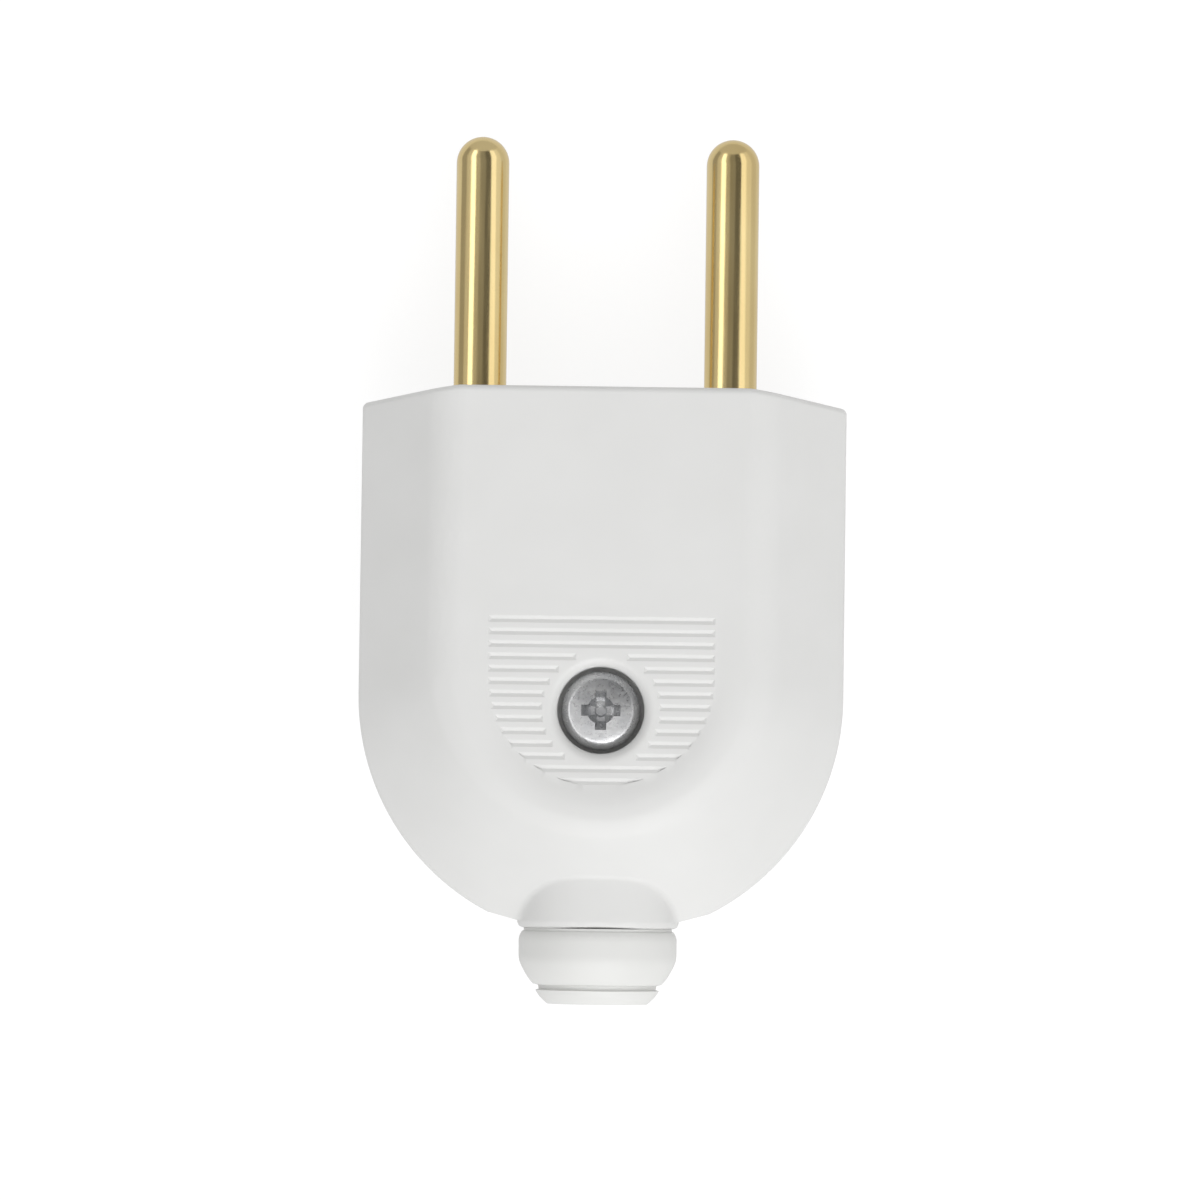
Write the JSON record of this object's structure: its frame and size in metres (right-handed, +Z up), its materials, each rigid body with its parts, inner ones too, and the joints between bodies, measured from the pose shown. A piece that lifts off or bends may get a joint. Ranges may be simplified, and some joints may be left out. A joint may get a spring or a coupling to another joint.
{
  "type": "two-pin plug",
  "caption": "Rewireable mains plug with round brass pins in a split white moulded shell, with grip grooves, a cross-recess case screw and a soft cord grommet.",
  "frame": {"origin": "on the surface the plug lies on, under the middle of its outline", "axes": "+Y along the pins towards their tips, +Z up out of the front panel, +X across the pins; the plug lies on its rear panel"},
  "size_m": [0.0366, 0.0656, 0.0168],
  "materials": {
    "shell_plastic": "satin",
    "pin_brass": "polished",
    "screw_steel": "satin",
    "grommet_plastic": "satin",
    "clamp_plastic": "matte"
  },
  "bodies": {
    "root": {"front_shell": "shell_plastic", "rear_shell": "shell_plastic", "left_pin": "pin_brass", "right_pin": "pin_brass", "terminal_screws": "screw_steel", "case_screw": "screw_steel", "case_nut": "screw_steel", "cord_grommet": "grommet_plastic", "cord_clamp": "clamp_plastic", "clamp_screws": "screw_steel"}
  },
  "joints": []
}
